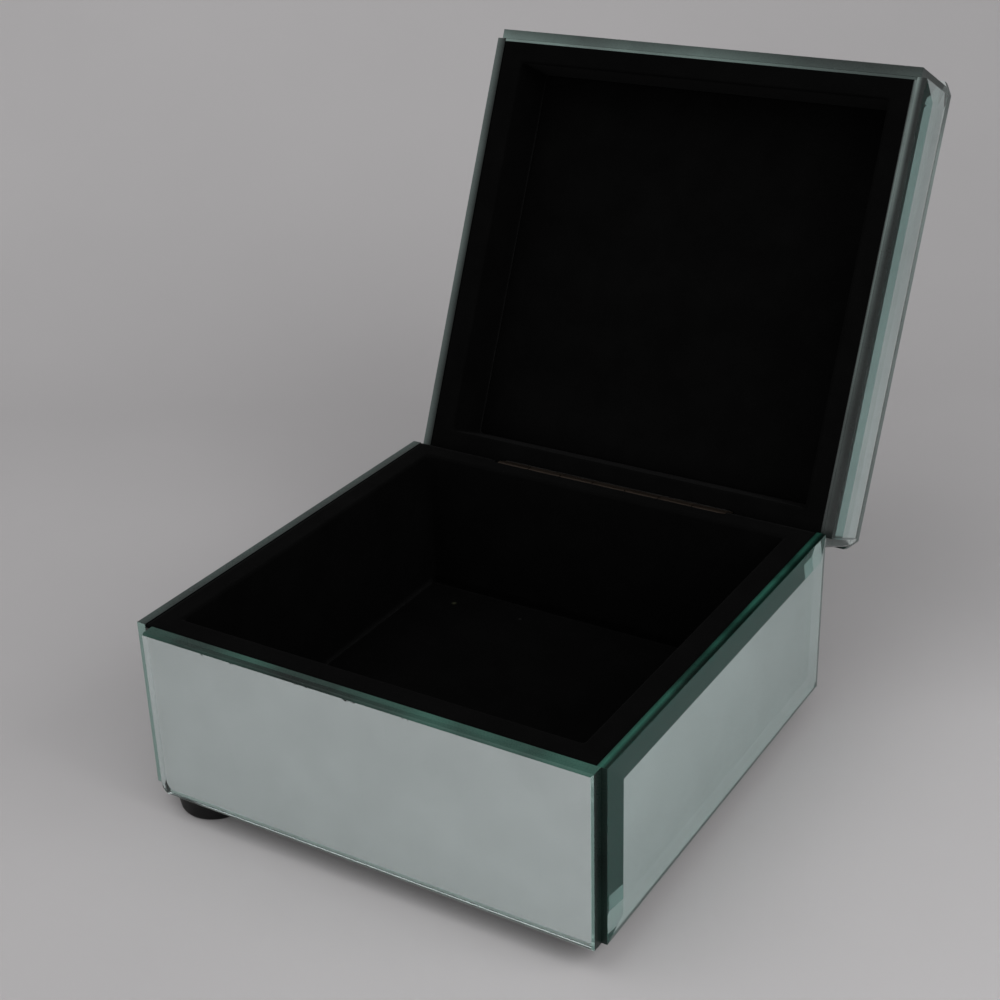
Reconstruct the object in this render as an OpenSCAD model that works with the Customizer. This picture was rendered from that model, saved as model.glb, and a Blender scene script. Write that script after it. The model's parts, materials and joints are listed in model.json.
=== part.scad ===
// Square keepsake box of mirror glass on a board carcass, lined with velvet, shown with its lid open.
// Millimetres. X runs to the right, Y to the back and Z up. The origin is on the floor, under the
// middle of the base. The lid is drawn shut, then swung open about the hinge pin.

/* [Box] */
// Width across the cut edges of the side glass
box_w = 140; // [120:1:200]
// Depth across the front and back glass
box_d = 140; // [120:1:200]
// Height of the base glass
base_h = 50.4; // [45:0.1:90]
// Height of the edge glass round the lid
lid_side_h = 23.1; // [20:0.1:40]
// Gap between the two rims when the lid is shut
rim_gap = 0.35; // [0.3:0.05:0.8]
// Angle from the shut lid to the open lid
open_angle = 114; // [95:0.1:115]

/* [Glass] */
// Thickness of every glass plate
glass_t = 4; // [3:0.1:5]
// Width of the bevel along each edge
bevel_w = 5.8; // [3:0.1:8]
// Depth of the bevel at the cut edge
bevel_d = 1.2; // [0.6:0.1:1.4]
// Width and depth of the ground arris on the plain front glass
arris = 0.6; // [0.2:0.05:0.8]
// How far the front and back glass lap over the ends of the side glass
corner_lap = 1.2; // [0.4:0.1:1.6]
// How far the plain front glass stops short of that lap on the left, where its corner was set wide
front_short = 3.6; // [0:0.1:5]

/* [Carcass] */
// Thickness of the four walls, in the base and in the lid
wall_t = 6; // [5:0.1:8]
// Thickness of the bottom board
bottom_t = 4; // [3:0.1:6]
// Thickness of the lid's top board
lid_board_t = 4; // [3:0.1:5]
// Thickness of the velvet on its backing card
lining_t = 1; // [0.6:0.1:1.5]

/* [Feet] */
// Diameter of a foot where it meets the board
foot_d = 21.5; // [14:0.5:26]
// Height of a foot
foot_h = 7.2; // [4:0.1:10]
// Distance from a left foot to the left edge of the box
foot_inset_x = 2.8; // [1:0.1:6]
// Distance from a left foot to the front or the back of the box
foot_inset_y = 1.4; // [1:0.1:6]
// How much further from the right edge the right feet were stuck, and the front one from the front
foot_shift = 9; // [0:0.5:10]
// Radius of the rounding round the sole of a foot
foot_round = 1.8; // [0.5:0.1:2.5]
// How much smaller the sole is than the top, on each side
foot_taper = 0.8; // [0:0.1:1.5]

/* [Hinge] */
// Length of the hinge
hinge_len = 78; // [60:1:90]
// Number of knuckles, an odd number
knuckles = 7; // [5:2:9]
// Radius of the barrel
barrel_r = 2.3; // [2.1:0.05:2.4]
// Thickness of a leaf
leaf_t = 1.1; // [0.9:0.05:1.1]
// Height of a leaf, measured from the pin
leaf_h = 14; // [13:0.5:15]
// Depth of the pin below the rim of the base
hinge_drop = 3.3; // [3:0.1:3.5]
// Radius of the pin
pin_r = 1.15; // [0.9:0.05:1.2]
// Radial play between the pin and the lid's knuckles
pin_play = 0.05; // [0.02:0.01:0.1]
// Gap between two knuckles
knuckle_gap = 0.3; // [0.3:0.05:0.6]
// Free space kept round the turning knuckles
swing_gap = 0.3; // [0.3:0.05:0.5]
// Space between a leaf and the glass behind it
leaf_cover = 0.1; // [0:0.05:0.2]
// Space between the barrel and the top of the back glass
barrel_cover = 0.4; // [0.3:0.05:0.8]

/* [Hinge screws] */
// Number of screws in each leaf
screw_count = 4; // [2:1:5]
// Distance of the screws from the pin
screw_line = 9.5; // [8:0.5:10]
// Distance of the end screws from the end of the leaf
screw_end = 8; // [6:0.5:10]
// Radius of a screw head
screw_head_r = 1.9; // [1.5:0.1:2.2]
// Radius of a screw shank
screw_r = 1; // [0.8:0.1:1.2]
// Length of a screw, from the face of the head
screw_len = 4.8; // [4:0.1:5]
// Width of the driver slot
slot_w = 0.5; // [0.4:0.05:0.7]
// Depth of the driver slot
slot_d = 0.4; // [0.3:0.05:0.5]
// Radial play of a screw in its leaf and in its hole
screw_play = 0.05; // [0.02:0.01:0.1]

/* [Hidden] */
body_x = box_w / 2 - (glass_t - bevel_d);
body_y = box_d / 2 - glass_t;
inner_x = body_x - wall_t;
inner_y = body_y - wall_t;
lap_w = 2 * (body_x + corner_lap);
base_top = foot_h + base_h;
leaf_seat = leaf_t + leaf_cover;
hinge_y = body_y - leaf_seat + barrel_r;
hinge_z = base_top - hinge_drop;
back_glass_h = hinge_z - barrel_r - barrel_cover - foot_h;
rim_z = base_top + rim_gap;
lid_top = rim_z + lid_side_h;
foot_x = box_w / 2 - foot_inset_x - foot_d / 2;
foot_y = box_d / 2 - foot_inset_y - foot_d / 2;
pitch = hinge_len / knuckles;
screw_span = hinge_len - 2 * screw_end;
over = 1;
$fn = 64;

// Sub-part to draw, or all

// ---- shared shapes ----

// swings a piece of the shut lid to where it stands open
module opened() {
  translate([0, hinge_y, hinge_z]) rotate([-open_angle, 0, 0]) translate([0, -hinge_y, -hinge_z])
    children();
}

// glass plate lying flat with its silvered face down; its edges are ground away on the upper face
module plate(w, h, edge_w, edge_d) {
  hull() {
    translate([-w / 2, -h / 2, 0]) cube([w, h, glass_t - edge_d]);
    translate([-w / 2 + edge_w, -h / 2 + edge_w, 0]) cube([w - 2 * edge_w, h - 2 * edge_w, glass_t]);
  }
}

// stands a plate upright; turn 0 faces the front, 90 the right, 180 the back and -90 the left
module upright(turn, out, foot, h) {
  rotate([0, 0, turn]) translate([0, -out, foot + h / 2]) rotate([90, 0, 0]) children();
}

// solid block between two heights, centred on the box
module block(half_x, half_y, z0, z1) {
  translate([-half_x, -half_y, z0]) cube([2 * half_x, 2 * half_y, z1 - z0]);
}

// wall along the front (side -1) or the back (side 1), the full width of the carcass
module long_wall(side, z0, z1) {
  translate([-body_x, side > 0 ? inner_y : -body_y, z0]) cube([2 * body_x, wall_t, z1 - z0]);
}

// wall on the left (side -1) or the right (side 1), between the long walls
module short_wall(side, z0, z1) {
  translate([side > 0 ? inner_x : -body_x, -inner_y, z0]) cube([wall_t, 2 * inner_y, z1 - z0]);
}

// velvet on card: up the inside of the walls and out over their rim, which lies at z1
module wall_lining(z0, z1, rim0, rim1) {
  difference() {
    union() {
      block(inner_x, inner_y, z0, z1);
      block(body_x, body_y, rim0, rim1);
    }
    block(inner_x - lining_t, inner_y - lining_t, min(z0, rim0) - over, max(z1, rim1) + over);
  }
}

// room for the hinge in a back wall; up 1 is the lid's wall and up -1 the base's
module hinge_room(up) {
  deep = leaf_seat + swing_gap;
  near = barrel_r + swing_gap;
  wide = hinge_len + 2 * swing_gap;
  // the leaf's own seat
  translate([-hinge_len / 2, body_y - leaf_seat, hinge_z - (up < 0 ? leaf_h : 0)])
    cube([hinge_len, leaf_seat + over, leaf_h]);
  // clear of the knuckles, and on the base of the lid's leaf too
  translate([-wide / 2, body_y - deep, hinge_z - near])
    cube([wide, deep + over, up < 0 ? hinge_drop + near + over : 2 * near]);
}

// positions of the screws along a leaf
module along_leaf() {
  for (i = [0 : screw_count - 1])
    translate([-screw_span / 2 + i * screw_span / (screw_count - 1), 0, 0]) children();
}

// screw pointing to the front, its head level with the leaf's outer face; grow widens it for a hole
module screw_body(grow) {
  taper_h = leaf_t - 0.1;
  translate([0, body_y - leaf_cover, 0]) rotate([90, 0, 0]) {
    cylinder(r1 = screw_head_r + grow, r2 = screw_r + grow, h = taper_h);
    cylinder(r = screw_r + grow, h = screw_len + grow);
  }
}

// all the screws of one leaf
module screws(z) {
  along_leaf() translate([0, 0, z]) difference() {
    screw_body(0);
    translate([-screw_head_r, body_y - leaf_cover - slot_d, -slot_w / 2])
      cube([2 * screw_head_r, slot_d + over, slot_w]);
  }
}

// holes for those screws
module screw_holes(z) {
  along_leaf() translate([0, 0, z]) screw_body(screw_play);
}

// a run of barrel along X round the pin's axis
module barrel(x, len, r) {
  translate([x - len / 2, hinge_y, hinge_z]) rotate([0, 90, 0]) cylinder(r = r, h = len);
}

// one leaf with its knuckles; first is its first knuckle's number and bore_r its bore
module leaf(up, first, bore_r) {
  difference() {
    union() {
      translate([-(hinge_len - knuckle_gap) / 2, hinge_y - barrel_r, hinge_z - (up < 0 ? leaf_h : 0)])
        cube([hinge_len - knuckle_gap, leaf_t, leaf_h]);
      for (i = [first : 2 : knuckles - 1])
        barrel((i + 0.5) * pitch - hinge_len / 2, pitch - knuckle_gap, barrel_r);
    }
    // notches for the other leaf's knuckles
    for (i = [1 - first : 2 : knuckles - 1])
      barrel((i + 0.5) * pitch - hinge_len / 2, pitch + knuckle_gap, barrel_r + swing_gap);
    barrel(0, hinge_len + over, bore_r);
    screw_holes(hinge_z + up * screw_line);
  }
}

// rubber foot, narrower at the sole and rounded round it
module foot(side_x, side_y) {
  shift_x = side_x > 0 ? foot_shift : 0;
  shift_y = side_y < 0 ? shift_x : 0;
  color([0.03, 0.03, 0.03]) translate([side_x * (foot_x - shift_x), side_y * (foot_y - shift_y), 0])
  rotate_extrude($fn = 96) {
    square([foot_d / 2 - foot_taper - foot_round, foot_h]);
    hull() {
      translate([foot_d / 2 - foot_taper - foot_round, foot_round]) circle(r = foot_round, $fn = 32);
      translate([0, foot_h - 0.5]) square([foot_d / 2, 0.5]);
    }
  }
}

module board_colour() { color([0.06, 0.06, 0.06]) children(); }
module glass_colour() { color([0.62, 0.67, 0.66]) children(); }
module velvet_colour() { color([0.02, 0.02, 0.02]) children(); }
module brass_colour() { color([0.55, 0.42, 0.2]) children(); }

// ---- base ----

module base_bottom_board() { board_colour() block(body_x, body_y, foot_h, foot_h + bottom_t); }

module base_front_wall() {
  board_colour() long_wall(-1, foot_h + bottom_t, base_top - lining_t);
}

module base_back_wall() {
  board_colour() difference() {
    long_wall(1, foot_h + bottom_t, base_top - lining_t);
    hinge_room(-1);
    screw_holes(hinge_z - screw_line);
  }
}

module base_left_wall() { board_colour() short_wall(-1, foot_h + bottom_t, base_top - lining_t); }
module base_right_wall() { board_colour() short_wall(1, foot_h + bottom_t, base_top - lining_t); }

module base_mirror_front() {
  glass_colour() upright(0, body_y, foot_h, base_h)
    translate([front_short / 2, 0, 0]) plate(lap_w - front_short, base_h, arris, arris);
}

module base_mirror_back() {
  glass_colour() upright(180, body_y, foot_h, back_glass_h)
    plate(lap_w, back_glass_h, bevel_w, bevel_d);
}

module base_mirror_left() {
  glass_colour() upright(-90, body_x, foot_h, base_h) plate(2 * body_y, base_h, bevel_w, bevel_d);
}

module base_mirror_right() {
  glass_colour() upright(90, body_x, foot_h, base_h) plate(2 * body_y, base_h, bevel_w, bevel_d);
}

module base_wall_lining() {
  velvet_colour() difference() {
    wall_lining(foot_h + bottom_t, base_top, base_top - lining_t, base_top);
    hinge_room(-1);
  }
}

module base_floor_lining() {
  velvet_colour()
    block(inner_x - lining_t, inner_y - lining_t, foot_h + bottom_t, foot_h + bottom_t + lining_t);
}

module foot_front_left() { foot(-1, -1); }
module foot_front_right() { foot(1, -1); }
module foot_back_left() { foot(-1, 1); }
module foot_back_right() { foot(1, 1); }

module hinge_lower_leaf() { brass_colour() leaf(-1, 0, pin_r); }
module hinge_pin() { brass_colour() barrel(0, hinge_len - knuckle_gap, pin_r); }
module hinge_lower_screws() { brass_colour() screws(hinge_z - screw_line); }

// ---- lid ----

module lid_top_board() { board_colour() opened() block(body_x, body_y, lid_top - lid_board_t, lid_top); }

module lid_front_wall() {
  board_colour() opened() long_wall(-1, rim_z + lining_t, lid_top - lid_board_t);
}

module lid_back_wall() {
  board_colour() opened() difference() {
    long_wall(1, rim_z + lining_t, lid_top - lid_board_t);
    hinge_room(1);
    screw_holes(hinge_z + screw_line);
  }
}

module lid_left_wall() {
  board_colour() opened() short_wall(-1, rim_z + lining_t, lid_top - lid_board_t);
}

module lid_right_wall() {
  board_colour() opened() short_wall(1, rim_z + lining_t, lid_top - lid_board_t);
}

module lid_mirror_top() {
  glass_colour() opened() translate([0, 0, lid_top]) plate(box_w, box_d, bevel_w, bevel_d);
}

module lid_mirror_front() {
  glass_colour() opened() upright(0, body_y, rim_z, lid_side_h) plate(lap_w, lid_side_h, bevel_w, bevel_d);
}

module lid_mirror_back() {
  glass_colour() opened() upright(180, body_y, rim_z, lid_side_h)
    plate(lap_w, lid_side_h, bevel_w, bevel_d);
}

module lid_mirror_left() {
  glass_colour() opened() upright(-90, body_x, rim_z, lid_side_h)
    plate(2 * body_y, lid_side_h, bevel_w, bevel_d);
}

module lid_mirror_right() {
  glass_colour() opened() upright(90, body_x, rim_z, lid_side_h)
    plate(2 * body_y, lid_side_h, bevel_w, bevel_d);
}

module lid_wall_lining() {
  velvet_colour() opened() difference() {
    wall_lining(rim_z, lid_top - lid_board_t, rim_z, rim_z + lining_t);
    hinge_room(1);
  }
}

module lid_panel_lining() {
  velvet_colour() opened()
    block(inner_x - lining_t, inner_y - lining_t, lid_top - lid_board_t - lining_t, lid_top - lid_board_t);
}

module hinge_upper_leaf() { brass_colour() opened() leaf(1, 1, pin_r + pin_play); }
module hinge_upper_screws() { brass_colour() opened() screws(hinge_z + screw_line); }

base_bottom_board();
base_front_wall();
base_back_wall();
base_left_wall();
base_right_wall();
base_mirror_front();
base_mirror_back();
base_mirror_left();
base_mirror_right();
base_wall_lining();
base_floor_lining();
foot_front_left();
foot_front_right();
foot_back_left();
foot_back_right();
hinge_lower_leaf();
hinge_pin();
hinge_lower_screws();
lid_top_board();
lid_front_wall();
lid_back_wall();
lid_left_wall();
lid_right_wall();
lid_mirror_top();
lid_mirror_front();
lid_mirror_back();
lid_mirror_left();
lid_mirror_right();
lid_wall_lining();
lid_panel_lining();
hinge_upper_leaf();
hinge_upper_screws();
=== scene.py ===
"""Mirrored keepsake box with a velvet lining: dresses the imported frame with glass, velvet, brass and rubber."""

import json
import math

import bmesh
import bpy
from mathutils import Matrix, Vector, noise


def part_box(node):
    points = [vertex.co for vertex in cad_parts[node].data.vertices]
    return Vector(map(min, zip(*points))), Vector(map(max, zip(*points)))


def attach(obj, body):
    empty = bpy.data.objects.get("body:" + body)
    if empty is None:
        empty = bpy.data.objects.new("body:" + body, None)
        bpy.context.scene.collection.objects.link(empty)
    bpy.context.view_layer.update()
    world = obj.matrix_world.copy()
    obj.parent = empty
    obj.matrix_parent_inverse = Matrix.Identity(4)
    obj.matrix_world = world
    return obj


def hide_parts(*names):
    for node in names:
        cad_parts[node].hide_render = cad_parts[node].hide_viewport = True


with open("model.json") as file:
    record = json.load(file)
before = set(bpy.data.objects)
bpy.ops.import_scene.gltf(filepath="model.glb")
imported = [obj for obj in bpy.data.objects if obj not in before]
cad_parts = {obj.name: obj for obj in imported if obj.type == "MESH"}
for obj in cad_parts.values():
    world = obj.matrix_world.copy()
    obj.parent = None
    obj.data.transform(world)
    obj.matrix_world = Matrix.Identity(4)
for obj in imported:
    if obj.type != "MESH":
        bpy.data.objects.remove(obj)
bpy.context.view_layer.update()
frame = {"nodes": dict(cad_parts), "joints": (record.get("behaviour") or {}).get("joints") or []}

bl_info = {
    "name": "Mirrored keepsake box",
    "version": (1, 0, 0),
    "blender": (4, 5, 0),
    "location": "View3D > Sidebar > Keepsake Box",
    "description": "Builds the glass, linings, hinge, feet and stage of a mirrored keepsake box",
    "category": "Object",
}

MM = 0.001

# The frame holds the lid open: these turn a point of it to where it lies with the lid shut, and back.
HINGE = frame["joints"][0]
PIN = Vector(HINGE["pos_m"])
SWING = math.radians(HINGE["range_deg"][1])
TO_SHUT = Matrix.Translation(PIN) @ Matrix.Rotation(SWING, 4, "X") @ Matrix.Translation(-PIN)
TO_OPEN = TO_SHUT.inverted()

# Two specks of lint on the floor lining: place, size and colour.
LINT = (((-0.0466, 0.0499, 0.0122), 1.6 * MM, "27281e"), ((-0.0229, 0.0511, 0.0122), 1.2 * MM, "141413"))


# ---- colours and node helpers ----


def rgb(code, alpha=1.0):
    """Linear colour of an sRGB hex code such as "9c9a9b"."""
    parts = [int(code[i : i + 2], 16) / 255 for i in (0, 2, 4)]
    return tuple(c / 12.92 if c <= 0.04045 else ((c + 0.055) / 1.055) ** 2.4 for c in parts) + (alpha,)


def shade(colour, factor):
    """A colour made darker or lighter."""
    return tuple(factor * c for c in colour[:3]) + (1.0,)


def add_node(tree, kind, values=None, stops=(), **settings):
    """One node with its settings. A value is a number, a colour or another node's output, a stop (place, colour)."""
    node = tree.nodes.new(kind)
    for name, value in settings.items():
        setattr(node, name, value)
    for name, value in (values or {}).items():
        socket = node.inputs[name]
        if isinstance(value, bpy.types.NodeSocket):
            tree.links.new(value, socket)
        else:
            socket.default_value = value
    if stops:
        band = node.color_ramp.elements
        band.remove(band[-1])
        band[0].position, band[0].color = stops[0]
        for position, colour in stops[1:]:
            band.new(position).color = colour
    return node


def new_material(name):
    """An empty node material."""
    made = bpy.data.materials.new(name)
    made.use_nodes = True
    made.node_tree.nodes.clear()
    return made, made.node_tree


def finish_material(tree, surface, volume=None):
    """Links the shader outputs."""
    out = add_node(tree, "ShaderNodeOutputMaterial", {"Surface": surface})
    if volume is not None:
        tree.links.new(volume, out.inputs["Volume"])


# ---- settings that a user would change ----


class KeepsakeGlassSettings(bpy.types.PropertyGroup):
    """Glass and silvering."""

    arris: bpy.props.FloatProperty(
        name="Edge softness", description="Width of the softened glass edges", default=0.12 * MM, subtype="DISTANCE"
    )
    silver_inset: bpy.props.FloatProperty(
        name="Silver inset", description="How far the silvering stands off the carcass",
        default=0.05 * MM, subtype="DISTANCE",
    )
    plain_glass: bpy.props.FloatProperty(
        name="Plain pane backing", description="Depth of the backing behind the plain front glass",
        default=2.0 * MM, subtype="DISTANCE",
    )
    lid_lap: bpy.props.FloatProperty(
        name="Lid strip", description="Width of the strip beside the lid's front and right glass",
        default=0.8 * MM, subtype="DISTANCE",
    )
    tint: bpy.props.FloatVectorProperty(
        name="Body tint", description="Colour that the glass lets through in depth", size=4,
        default=(0.0, 0.87, 0.74, 1.0), subtype="COLOR"
    )
    depth: bpy.props.FloatProperty(
        name="Tint strength", description="How strongly the glass colours what is seen through it", default=16.0
    )
    silver: bpy.props.FloatVectorProperty(
        name="Silvering", description="Colour of the silvering", size=4, default=rgb("e3e9e8"), subtype="COLOR"
    )
    # painted glow: a diffuse green in the bevels that stands in for light carried through the glass
    glow: bpy.props.FloatVectorProperty(
        name="Bevel glow", description="Green that the bevels show",
        size=4, default=(0.0, 0.28, 0.21, 1.0), subtype="COLOR",
    )
    frosting: bpy.props.FloatVectorProperty(
        name="Frosting", description="Colour of the frosted arris",
        size=4, default=(0.82, 0.9, 0.87, 1.0), subtype="COLOR",
    )
    # grey that the cut edges are mixed towards as a painted reflection
    painted_grey_tone: bpy.props.FloatVectorProperty(
        name="Pale edge", description="Colour of the paler cut edges",
        size=4, default=(0.1, 0.125, 0.119, 1.0), subtype="COLOR",
    )
    edge: bpy.props.FloatVectorProperty(
        name="Cut edge", description="Colour of the cut edges",
        size=4, default=(0.012, 0.052, 0.038, 1.0), subtype="COLOR",
    )


class KeepsakeVelvetSettings(bpy.types.PropertyGroup):
    """Velvet linings."""

    pile: bpy.props.FloatVectorProperty(
        name="Pile", description="Colour of the velvet", size=4, default=rgb("040404"), subtype="COLOR"
    )
    thickness: bpy.props.FloatProperty(
        name="Thickness", description="Thickness of the velvet on its card", default=0.7 * MM, subtype="DISTANCE"
    )
    fold: bpy.props.FloatProperty(
        name="Fold radius", description="Radius where the velvet turns over the rim",
        default=0.9 * MM, subtype="DISTANCE",
    )
    ripple: bpy.props.FloatProperty(
        name="Ripple", description="Height of the soft waves in the glued velvet",
        default=0.09 * MM, subtype="DISTANCE",
    )


class KeepsakeMetalSettings(bpy.types.PropertyGroup):
    """Hinge brass, foot rubber and board stain."""

    brass: bpy.props.FloatVectorProperty(
        name="Aged brass", description="Colour of the hinge", size=4, default=rgb("5a4f46"), subtype="COLOR"
    )
    bright_brass: bpy.props.FloatVectorProperty(
        name="Screw brass", description="Colour of the screws", size=4, default=rgb("c09a5a"), subtype="COLOR"
    )
    rubber: bpy.props.FloatVectorProperty(
        name="Rubber", description="Colour of the feet", size=4, default=rgb("080808"), subtype="COLOR"
    )
    stain: bpy.props.FloatVectorProperty(
        name="Board stain", description="Colour of the stained board", size=4, default=rgb("242322"), subtype="COLOR"
    )


class KeepsakeStageSettings(bpy.types.PropertyGroup):
    """Floor, backdrop and light."""

    paper: bpy.props.FloatVectorProperty(
        name="Paper", description="Colour of the floor and backdrop", size=4, default=rgb("a4a2a3"), subtype="COLOR"
    )
    bend: bpy.props.FloatProperty(
        name="Backdrop distance", description="From the box to where the paper starts to rise",
        default=0.26, subtype="DISTANCE",
    )
    key: bpy.props.FloatProperty(
        name="Key light", description="Power of the overhead light", default=5.9, subtype="POWER"
    )
    fill: bpy.props.FloatProperty(
        name="Fill light", description="Power of the light from the right", default=4.8, subtype="POWER"
    )
    front: bpy.props.FloatProperty(
        name="Front light", description="Power of the low light in front", default=3.6, subtype="POWER"
    )
    bounce: bpy.props.FloatProperty(
        name="Low light", description="Power of the low light on the right", default=1.0, subtype="POWER"
    )
    ambient: bpy.props.FloatProperty(name="Ambient", description="Strength of the even light", default=0.5)


# ---- materials ----


def glass_material(s):
    """Float glass: clear on its faces, with a painted green glow in the polished bevels and a frosted lower arris.
    """
    made, tree = new_material("float_glass_green_cast")
    place = add_node(tree, "ShaderNodeTexCoord").outputs["Object"]
    # faces that carry the painted bevel glow
    bevel = add_node(tree, "ShaderNodeAttribute", attribute_name="bevel").outputs["Fac"]
    frost = add_node(tree, "ShaderNodeAttribute", attribute_name="frost").outputs["Fac"]
    # nicks about 2 mm apart along the frosted arris
    nicks = add_node(tree, "ShaderNodeTexNoise", {"Vector": place, "Scale": 420.0, "Detail": 4.0}).outputs["Fac"]
    # faint wiping marks, tens of millimetres long
    wipes = add_node(
        tree, "ShaderNodeTexNoise", {"Vector": place, "Scale": 45.0, "Detail": 5.0, "Roughness": 0.65}
    ).outputs["Fac"]
    smear = add_node(
        tree,
        "ShaderNodeMapRange",
        {"Value": wipes, "From Min": 0.52, "From Max": 0.8, "To Min": 0.0, "To Max": 0.035},
    ).outputs["Result"]
    silky = add_node(tree, "ShaderNodeMath", {0: frost, 1: 0.2}, operation="MULTIPLY").outputs[0]
    rough = add_node(tree, "ShaderNodeMath", {0: silky, 1: smear}, operation="ADD").outputs[0]
    dents = add_node(tree, "ShaderNodeMath", {0: nicks, 1: frost}, operation="MULTIPLY").outputs[0]
    bump = add_node(tree, "ShaderNodeBump", {"Height": dents, "Strength": 0.35, "Distance": 0.25 * MM})
    glass = add_node(
        tree,
        "ShaderNodeBsdfPrincipled",
        {
            "Base Color": (1.0, 1.0, 1.0, 1.0),
            "Roughness": rough,
            "IOR": 1.52,
            "Transmission Weight": 1.0,
            "Normal": bump.outputs["Normal"],
        },
    )
    glow = add_node(
        tree, "ShaderNodeMix", {"Factor": frost, "A": tuple(s.glow), "B": tuple(s.frosting)}, data_type="RGBA"
    )
    body = add_node(tree, "ShaderNodeBsdfDiffuse", {"Color": glow.outputs["Result"]})
    # diffuse share: the painted bevel glow, and the frosted arris's
    some = add_node(tree, "ShaderNodeMath", {0: bevel, 1: 0.08}, operation="MULTIPLY").outputs[0]
    most = add_node(tree, "ShaderNodeMath", {0: frost, 1: 0.7, 2: some}, operation="MULTIPLY_ADD").outputs[0]
    both = add_node(tree, "ShaderNodeMixShader", {0: most, 1: glass.outputs[0], 2: body.outputs[0]})
    tint = add_node(tree, "ShaderNodeVolumeAbsorption", {"Color": tuple(s.tint), "Density": s.depth})
    finish_material(tree, both.outputs[0], tint.outputs[0])
    return made


def edge_material(s):
    """Cut edge of the glass: dark green in depth, ground smooth, with nicks, random lighter and darker runs, and
    painted light, shade, highlight lines and grey reflection along it.
    """
    made, tree = new_material("ground_glass_edge")
    place = add_node(tree, "ShaderNodeTexCoord").outputs["Object"]
    # lighter and darker runs about 25 mm long, grinding marks 0.4 mm apart and nicks 2 mm apart
    runs = add_node(
        tree, "ShaderNodeTexNoise", {"Vector": place, "Scale": 38.0, "Detail": 3.0, "Roughness": 0.55}
    ).outputs["Fac"]
    grain = add_node(tree, "ShaderNodeTexNoise", {"Vector": place, "Scale": 2500.0, "Detail": 3.0}).outputs["Fac"]
    nicks = add_node(tree, "ShaderNodeTexNoise", {"Vector": place, "Scale": 420.0, "Detail": 4.0}).outputs["Fac"]
    edge, reflection_grey = tuple(s.edge), tuple(s.painted_grey_tone)
    green = add_node(
        tree, "ShaderNodeValToRGB", {"Fac": runs}, [(0.36, shade(edge, 0.45)), (0.5, edge), (0.66, shade(edge, 1.5))]
    ).outputs["Color"]
    painted_grey_tone = add_node(
        tree, "ShaderNodeValToRGB", {"Fac": runs}, [(0.36, shade(reflection_grey, 0.7)), (0.66, reflection_grey)]
    ).outputs["Color"]
    # the painted light and shade of each stretch of edge, and its painted grey reflection, come from the mesh
    painted_light = add_node(tree, "ShaderNodeAttribute", attribute_name="painted_light").outputs["Fac"]
    painted_grey = add_node(tree, "ShaderNodeAttribute", attribute_name="painted_grey").outputs["Fac"]
    mixed = add_node(tree, "ShaderNodeMix", {"Factor": painted_grey, "A": green, "B": painted_grey_tone}, data_type="RGBA")
    tone = add_node(
        tree, "ShaderNodeVectorMath", {0: mixed.outputs["Result"], "Scale": painted_light}, operation="SCALE"
    ).outputs["Vector"]
    rough = add_node(
        tree, "ShaderNodeMapRange", {"Value": grain, "From Min": 0.3, "From Max": 0.7, "To Min": 0.22, "To Max": 0.4}
    ).outputs["Result"]
    bump = add_node(tree, "ShaderNodeBump", {"Height": nicks, "Strength": 0.35, "Distance": 0.25 * MM})
    face = add_node(
        tree,
        "ShaderNodeBsdfPrincipled",
        {
            "Base Color": tone,
            "Roughness": rough,
            "IOR": 1.52,
            "Specular IOR Level": 0.15,
            "Normal": bump.outputs["Normal"],
        },
    )
    finish_material(tree, face.outputs[0])
    return made


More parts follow.
